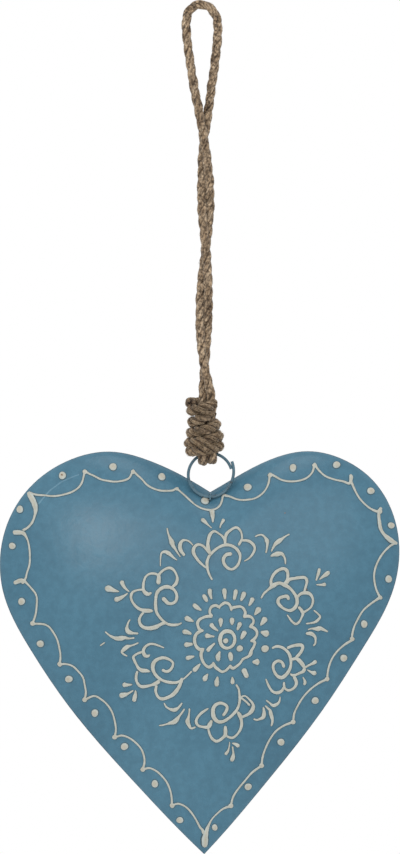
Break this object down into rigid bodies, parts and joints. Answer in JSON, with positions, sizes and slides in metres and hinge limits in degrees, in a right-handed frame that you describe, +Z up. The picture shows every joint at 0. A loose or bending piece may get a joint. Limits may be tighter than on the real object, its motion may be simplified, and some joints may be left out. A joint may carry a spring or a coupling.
{
  "type": "hanging heart ornament",
  "caption": "Hollow painted sheet-metal heart with raised piped decoration, hung by a wire staple and a lapped wire ring from a knotted jute rope loop.",
  "frame": {"origin": "the hanging point: the inside of the top of the rope loop", "axes": "+Z up along the rope, the decorated face looks along -Y, +X to the viewer's right"},
  "size_m": [0.2009, 0.0356, 0.4287],
  "materials": {
    "painted_shell": "satin dusty blue paint",
    "painted_bead": "satin dusty blue paint",
    "painted_wire": "satin paint, worn",
    "solder": "dull solder",
    "jute": "coarse laid fibre"
  },
  "bodies": {
    "rope": {"rope_hanger": "jute", "rope_eye": "jute", "rope_wraps": "jute"},
    "ring": {"hanging_ring": "painted_wire"},
    "heart": {"front_shell": "painted_shell", "back_shell": "painted_shell", "seam_bead": "painted_bead", "ring_staple": "painted_wire", "staple_solder": "solder"}
  },
  "joints": [
    {"name": "ring_in_rope", "type": "hinge", "parent": "rope", "child": "ring", "pos_m": [0.0044, 0, -0.2235], "axis": [-1, 0, 0], "range_deg": [-40, 40]},
    {"name": "heart_on_ring", "type": "hinge", "parent": "ring", "child": "heart", "pos_m": [0.0044, 0, -0.2455], "axis": [-1, 0, 0], "range_deg": [-5, 90]}
  ]
}
